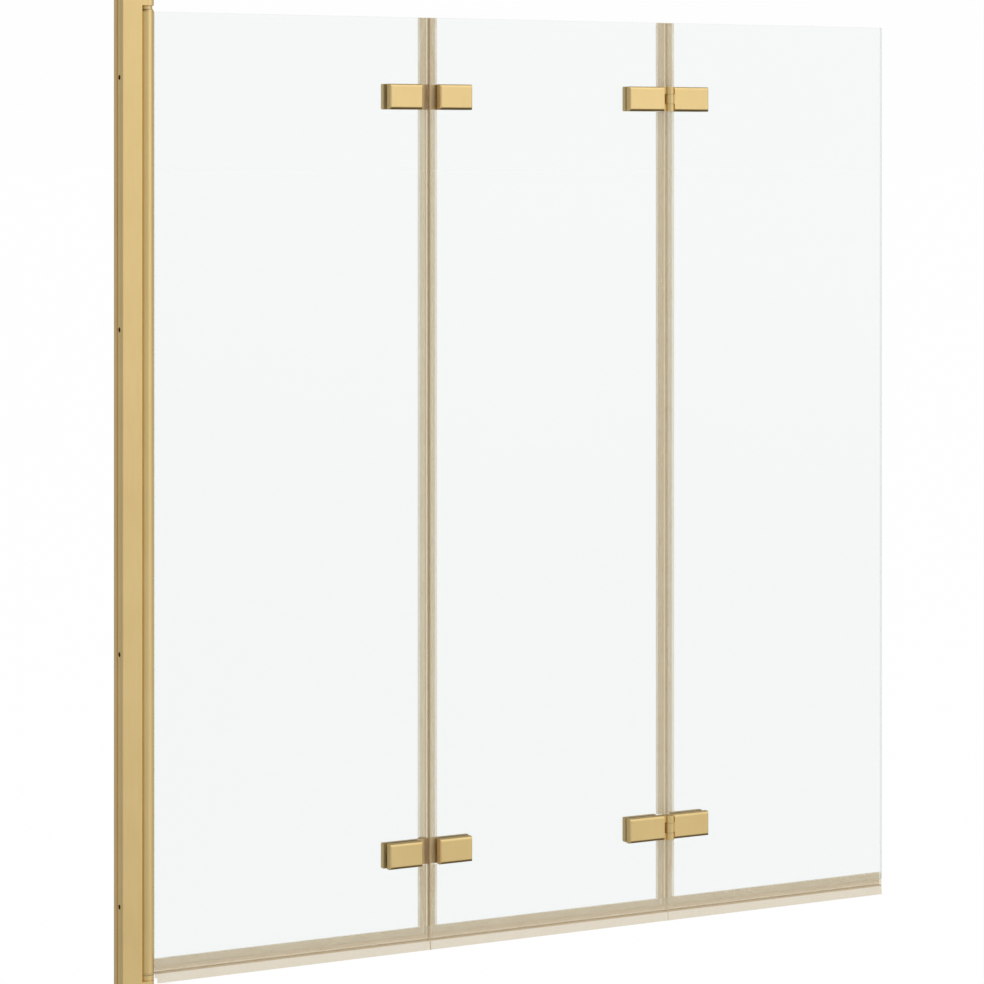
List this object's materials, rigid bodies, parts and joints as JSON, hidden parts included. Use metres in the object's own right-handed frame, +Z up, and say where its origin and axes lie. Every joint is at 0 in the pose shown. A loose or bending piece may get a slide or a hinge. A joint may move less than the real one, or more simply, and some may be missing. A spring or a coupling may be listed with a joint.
{
  "type": "folding bath screen",
  "caption": "Folding bath screen with clear glass panels on a round pivot post, satin gold wall profile and hinges, and translucent seals.",
  "frame": {"origin": "on the wall, at the centre of the profile's wall face, in the plane of the glass", "axes": "+X from the wall along the glass, +Y from the front face to the back, +Z up"},
  "size_m": [1.301, 0.0396, 1.38],
  "materials": {
    "satin_gold": "satin brushed gold",
    "cast_zinc": "satin",
    "stainless_steel": "brushed",
    "clear_glass": "polished clear",
    "clear_pvc": "translucent soft plastic",
    "dark_rubber": "matt",
    "bronze": "satin"
  },
  "bodies": {
    "wall_frame": {"wall_channel": "satin_gold", "pivot_rail": "satin_gold", "pile_strips": "dark_rubber", "rail_screws": "stainless_steel", "cap_screws": "stainless_steel", "upper_end_cap": "satin_gold", "lower_end_cap": "satin_gold", "upper_pivot_bush": "satin_gold", "lower_pivot_bush": "satin_gold"},
    "panel_1": {"pivot_post": "satin_gold", "upper_pivot_plug": "cast_zinc", "lower_pivot_plug": "cast_zinc", "glazing_gasket": "clear_pvc", "glass_panel_1": "clear_glass", "bottom_seal_1": "clear_pvc", "side_seal_1": "clear_pvc", "hinge_1_upper_near_leaf": "satin_gold", "hinge_1_upper_near_cover": "satin_gold", "hinge_1_upper_pin": "stainless_steel", "hinge_1_lower_near_leaf": "satin_gold", "hinge_1_lower_near_cover": "satin_gold", "hinge_1_lower_pin": "stainless_steel", "hinge_1_near_gaskets": "dark_rubber", "hinge_1_near_clamp_plates": "stainless_steel", "hinge_1_near_clamp_screws": "stainless_steel", "hinge_1_washers": "bronze"},
    "panel_2": {"glass_panel_2": "clear_glass", "bottom_seal_2": "clear_pvc", "side_seal_2a": "clear_pvc", "side_seal_2b": "clear_pvc", "hinge_1_upper_far_leaf": "satin_gold", "hinge_1_upper_far_cover": "satin_gold", "hinge_1_lower_far_leaf": "satin_gold", "hinge_1_lower_far_cover": "satin_gold", "hinge_2_upper_near_leaf": "satin_gold", "hinge_2_upper_near_cover": "satin_gold", "hinge_2_upper_pin": "stainless_steel", "hinge_2_lower_near_leaf": "satin_gold", "hinge_2_lower_near_cover": "satin_gold", "hinge_2_lower_pin": "stainless_steel", "hinge_1_far_gaskets": "dark_rubber", "hinge_2_near_gaskets": "dark_rubber", "hinge_1_far_clamp_plates": "stainless_steel", "hinge_2_near_clamp_plates": "stainless_steel", "hinge_1_far_clamp_screws": "stainless_steel", "hinge_2_near_clamp_screws": "stainless_steel", "hinge_2_washers": "bronze"},
    "panel_3": {"glass_panel_3": "clear_glass", "bottom_seal_3": "clear_pvc", "side_seal_3": "clear_pvc", "hinge_2_upper_far_leaf": "satin_gold", "hinge_2_upper_far_cover": "satin_gold", "hinge_2_lower_far_leaf": "satin_gold", "hinge_2_lower_far_cover": "satin_gold", "hinge_2_far_gaskets": "dark_rubber", "hinge_2_far_clamp_plates": "stainless_steel", "hinge_2_far_clamp_screws": "stainless_steel"}
  },
  "joints": [
    {"name": "wall_pivot", "type": "hinge", "parent": "wall_frame", "child": "panel_1", "pos_m": [0.0415, 0, 0], "axis": [0, 0, -1], "range_deg": [-90, 90]},
    {"name": "fold_1", "type": "hinge", "parent": "panel_1", "child": "panel_2", "pos_m": [0.49, 0.0138, 0], "axis": [0, 0, 1], "range_deg": [0, 175]},
    {"name": "fold_2", "type": "hinge", "parent": "panel_2", "child": "panel_3", "pos_m": [0.9, -0.0138, 0], "axis": [0, 0, -1], "range_deg": [0, 175]}
  ]
}
